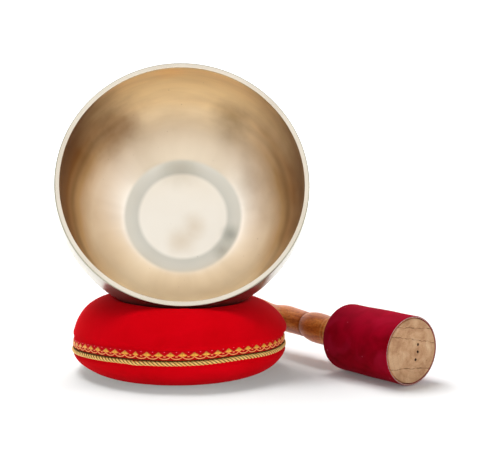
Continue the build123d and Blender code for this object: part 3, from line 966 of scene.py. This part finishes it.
def raw_wood():
    """Pale end wood: stains, saw marks and wandering drying cracks."""
    s = Shader("raw_end_wood")
    local = s.before_laying(MALLET_PLACE)
    x, y = s.parts(local)[0], s.parts(local)[1]
    up = s.times(y, -1.0)
    blotch = s.noise(local, 110.0, 4.0, 0.6, 0.5)
    pores = s.noise(s.mapped(local, scale=(0.7, 1.6, 0.2)), 1300.0, 3.0, 0.7)
    colour = s.ramp(blotch, ((0.3, rgb(160, 118, 86)), (0.5, rgb(188, 148, 112)), (0.7, rgb(204, 170, 136))))
    colour = s.tinted(colour, s.ramp(pores, ((0.3, (0.82, 0.8, 0.77)), (0.6, 1.0))))
    wander = s.times(s.minus(s.noise(local, 160.0, 3.0), 0.5), 0.0035)
    faint = s.ramp(s.noise(local, 240.0, 2.0), ((0.42, 0.3), (0.6, 0.95)))
    for height, slope in ((0.0143, -0.12), (0.0072, -0.2), (-0.0112, -0.1)):
        level = s.minus(s.plus(up, wander), s.times(x, slope))
        level = s.maths("ABSOLUTE", s.minus(level, height))
        thin = s.ramp(s.times(level, 1600.0), ((0.1, 1.0), (0.75, 0.0)))
        colour = s.mix(s.times(thin, faint), colour, rgb(96, 62, 40))
    near_x, near_y = s.minus(x, 0.004), s.plus(y, -0.001)
    ring = s.times(s.from_axis(near_x, near_y), 260.0)
    ring = s.maths("FRACT", s.plus(ring, s.times(blotch, 1.2)))
    saw = s.ramp(ring, ((0.0, (0.86, 0.83, 0.8)), (0.25, 1.0), (0.8, 1.0), (1.0, (0.86, 0.83, 0.8))))
    colour = s.mix(0.6, colour, s.tinted(colour, saw))
    dots = s.ramp(s.spots(s.mapped(local, scale=(1, 1, 0)), 150.0), ((0.0, 0.9), (0.08, 0.0)))
    colour = s.mix(dots, colour, rgb(96, 66, 44))
    return s.finish(Base_Color=colour, Roughness=0.85, Normal=s.bump(pores, 0.00008, 0.5),
                    Specular_IOR_Level=0.2)


def painted_hole_shade():
    """Wood inside the small holes, painted dark as their shade."""
    s = Shader("painted_hole_shade")
    dark = s.ramp(s.noise(s.place(), 1500.0, 3.0), ((0.3, rgb(40, 24, 14)), (0.7, rgb(74, 46, 28))))
    return s.finish(Base_Color=dark, Roughness=0.9)


def drill(obj, material):
    """Cuts the drive holes into the end face; their walls get a material of their own, painted dark as shade.
    """
    cutter_mesh = bpy.data.meshes.new("drill")
    work = bmesh.new()
    for right, up in DRIVE_HOLES:
        place = MALLET_PLACE @ Matrix.Translation((right, -up, 0))
        shaft = bmesh.ops.create_cone(work, segments=14, cap_ends=True, radius1=1.0, radius2=0.8, depth=4.8)
        bmesh.ops.transform(work, matrix=Matrix.Scale(MM, 4) @ place, verts=shaft["verts"])
    work.to_mesh(cutter_mesh)
    work.free()
    cutter_mesh.materials.append(material)
    cutter = bpy.data.objects.new("drill", cutter_mesh)
    bpy.context.scene.collection.objects.link(cutter)
    cut = obj.modifiers.new("holes", "BOOLEAN")
    cut.operation = "DIFFERENCE"
    cut.solver = "EXACT"
    cut.object = cutter
    cut.material_mode = "TRANSFER"
    shaped = obj.evaluated_get(bpy.context.evaluated_depsgraph_get())
    drilled = bpy.data.meshes.new_from_object(shaped, preserve_all_data_layers=True,
                                              depsgraph=bpy.context.evaluated_depsgraph_get())
    obj.modifiers.clear()
    obj.data = drilled
    bpy.data.objects.remove(cutter)


def build_handle():
    """The turned stick with its head core; the end face has its own raw finish."""
    profile = handle_profile()
    on_face = np.maximum(profile[:-1, 1], profile[1:, 1]) < 0.6
    grid = turned(profile, 128, handle_wobble)
    grid[..., 1] -= np.maximum(grid[..., 2] - HEAD_LENGTH, 0) * math.tan(HANDLE_RISE)
    patches = Patchwork()
    patches.add(moved(grid, MALLET_PLACE), wrap_columns=True, slots=np.where(on_face, 1, 0))
    handle = patches.piece("turned_handle", "mallet", (turned_wood(), raw_wood()),
                           ["mallet_handle"])
    drill(handle, painted_hole_shade())


def suede():
    """Crimson suede: short mottled nap, paler rubbed patches, a few pale specks and a painted sheen along the
    top.
    """
    s = Shader("suede")
    local = s.before_laying(MALLET_PLACE)
    y = s.parts(local)[1]
    nap = s.noise(local, 1500.0, 3.0, 0.7)
    mottle = s.noise(local, 85.0, 3.0, 0.55, 0.6)
    wear = s.noise(local, 34.0, 3.0, 0.5, 1.0)
    colour = s.ramp(mottle, ((0.3, rgb(112, 0, 10)), (0.7, rgb(142, 0, 24))))
    rubbed = s.ramp(wear, ((0.5, 0.0), (0.72, 0.45)))
    colour = s.mix(rubbed, colour, rgb(164, 26, 54))
    # Painted sheen: the top of the head is paler pink.
    below_top = s.times(s.plus(y, HEAD_R * MM), 22.0)
    painted_sheen_on_top = s.ramp(below_top, ((0.0, 0.4), (0.35, 0.0)), smooth=True)
    colour = s.mix(painted_sheen_on_top, colour, rgb(168, 20, 50))
    speck_places = s.spots(s.mapped(local, scale=(1.0, 1.0, 0.8)), 130.0)
    specks = s.ramp(speck_places, ((0.0, 0.7), (0.09, 0.0)))
    colour = s.mix(specks, colour, rgb(196, 92, 104))
    fuzz = s.bump(nap, 0.00012, 0.6)
    return s.finish(Base_Color=colour, Roughness=0.95, Normal=s.bump(mottle, 0.0002, 0.3, fuzz),
                    Sheen_Weight=0.03, Sheen_Roughness=0.4, Sheen_Tint=rgb(255, 110, 140),
                    Specular_IOR_Level=0.03)


def cut_edge():
    """Paler, slightly ragged cut edge of the suede."""
    s = Shader("suede_cut_edge")
    fibres = s.noise(s.place(), 900.0, 3.0, 0.7)
    colour = s.ramp(fibres, ((0.35, rgb(132, 92, 88)), (0.65, rgb(176, 144, 132))))
    return s.finish(Base_Color=colour, Roughness=0.95, Normal=s.bump(fibres, 0.0001, 0.6))


def wrap_wobble(radius, height, angle):
    """Soft unevenness of the glued suede."""
    outer = smoothstep(21.2, 21.8, radius)
    soft = 0.22 * ripple(angle, (2, 3, 4), 41) + 0.12 * np.sin(height / 6.0 + 3 * np.sin(angle))
    return outer * soft * smoothstep(2, 12, height) - 0.22 * outer, 0 * height


def build_wrap():
    """Suede sleeve, turned in over the shoulder of the head."""
    inner_r, inner_end = HEAD_R - SUEDE_THICKNESS, HEAD_LENGTH - SUEDE_THICKNESS
    runs = [line((inner_r, SUEDE_SETBACK), (HEAD_R, SUEDE_SETBACK), 6),
            line((HEAD_R, SUEDE_SETBACK), (HEAD_R, HEAD_LENGTH), 60),
            line((HEAD_R, HEAD_LENGTH), (SUEDE_MOUTH_R, HEAD_LENGTH), 24),
            line((SUEDE_MOUTH_R, HEAD_LENGTH), (SUEDE_MOUTH_R, inner_end), 4),
            line((SUEDE_MOUTH_R, inner_end), (inner_r, inner_end), 20),
            line((inner_r, inner_end), (inner_r, SUEDE_SETBACK), 40)]
    profile, run = joined(runs, (0.25, 6.0, 0.3, 0.3, 4.8), 12)
    grid = turned(profile, 160, wrap_wobble)
    slots = np.where(run == 0, 1, 0)
    patches = Patchwork()
    patches.add(moved(grid, MALLET_PLACE), wrap_rows=True, wrap_columns=True, slots=slots)
    patches.piece("suede_wrap", "mallet", (suede(), cut_edge()), ["mallet_suede_wrap"])


# ---------------- studio

def white_ground(name, near_light, far_light):
    """White card with its own light, which rises with the distance from the object."""
    s = Shader(name)
    away = s.node("ShaderNodeVectorMath", {0: s.place()}, operation="LENGTH").outputs["Value"]
    glow = s.ramp(away, ((0.25, near_light), (0.9, far_light)), smooth=True)
    in_gloss = s.node("ShaderNodeLightPath").outputs["Is Glossy Ray"]
    glow = s.mix(in_gloss, glow, s.mix(1.0, glow, (GLOSS_LIFT,) * 3, "ADD"))
    return s.finish(Base_Color=(SWEEP_WHITE,) * 3, Roughness=1.0, Specular_IOR_Level=0.0,
                    Emission_Color=glow, Emission_Strength=1.0)


def build_floor():
    """White sweep: a floor that curves up into a wall far behind."""
    ground = line((SWEEP_NEAR, 0), (SWEEP_FAR, 0), 12)
    wall_y = SWEEP_FAR + SWEEP_BEND
    wall = np.vstack([arc((SWEEP_FAR, SWEEP_BEND), SWEEP_BEND, -math.pi / 2, 0, 24),
                      line((wall_y, SWEEP_BEND), (wall_y, SWEEP_EDGE), 6)[1:]])
    for name, profile, near_light in (("floor", ground, FLOOR_LIGHT), ("backdrop", wall, WALL_LIGHT)):
        grid = np.array([[(x, y, z) for x in np.linspace(-SWEEP_EDGE, SWEEP_EDGE, 9)] for y, z in profile])
        rows, columns = grid.shape[:2]
        faces = [(r * columns + c, r * columns + c + 1, (r + 1) * columns + c + 1, (r + 1) * columns + c)
                 for r in range(rows - 1) for c in range(columns - 1)]
        mesh = bpy.data.meshes.new(name)
        mesh.from_pydata((grid.reshape(-1, 3) * MM).tolist(), [], faces)
        mesh.polygons.foreach_set("use_smooth", np.ones(len(faces), bool))
        mesh.materials.append(white_ground(name, near_light, WALL_LIGHT))
        obj = bpy.data.objects.new(name, mesh)
        bpy.context.scene.collection.objects.link(obj)


def softbox(name, place, size, brightness):
    """Rectangular soft light aimed at the object; it lights matt things and isn't seen in gloss."""
    light = bpy.data.lights.new(name, "AREA")
    light.shape = "RECTANGLE"
    light.size, light.size_y = size
    light.energy = brightness * math.pi * size[0] * size[1]
    obj = bpy.data.objects.new(name, light)
    obj.location = place
    obj.rotation_euler = (Vector(place) - Vector(LIGHT_TARGET)).to_track_quat("Z", "Y").to_euler()
    obj.visible_glossy = False
    bpy.context.scene.collection.objects.link(obj)


def build_studio():
    """White tent, brighter above than at the horizon, with the softboxes."""
    world = bpy.data.worlds.new("studio")
    world.use_nodes = True
    nodes, links = world.node_tree.nodes, world.node_tree.links
    direction = nodes.new("ShaderNodeTexCoord").outputs["Generated"]
    split = nodes.new("ShaderNodeSeparateXYZ")
    links.new(direction, split.inputs[0])
    tent = nodes.new("ShaderNodeValToRGB")
    links.new(split.outputs["Z"], tent.inputs["Fac"])
    for element, place, value in zip(tent.color_ramp.elements, (0.0, 0.3), (TENT_LOW, TENT_HIGH)):
        element.position = place
        element.color = (*[value] * 3, 1)
    light = nodes.new("ShaderNodeMix")
    light.data_type = "RGBA"
    links.new(nodes.new("ShaderNodeLightPath").outputs["Is Diffuse Ray"], light.inputs["Factor"])
    links.new(tent.outputs["Color"], light.inputs["A"])
    light.inputs["B"].default_value = (*[TENT_FILL] * 3, 1)
    sky = nodes["Background"]
    links.new(light.outputs["Result"], sky.inputs["Color"])
    sky.inputs["Strength"].default_value = 1.0
    bpy.context.scene.world = world
    for box in SOFTBOXES:
        softbox(*box)
    bpy.context.scene.view_settings.view_transform = "Standard"


def build_camera():
    camera = bpy.data.cameras.new("camera")
    camera.sensor_width = 36.0
    camera.lens = CAMERA_LENS
    camera.clip_start = 0.01
    obj = bpy.data.objects.new("camera", camera)
    obj.location = CAMERA_PLACE
    obj.rotation_euler = Euler((CAMERA_TILT, 0, 0))
    bpy.context.scene.collection.objects.link(obj)
    bpy.context.scene.camera = obj


build_camera()
build_studio()
build_floor()
build_bowl()
build_cushion()
build_tape()
build_cord()
build_dark_line()
build_braid()
build_leaves()
build_dots()
build_handle()
build_wrap()
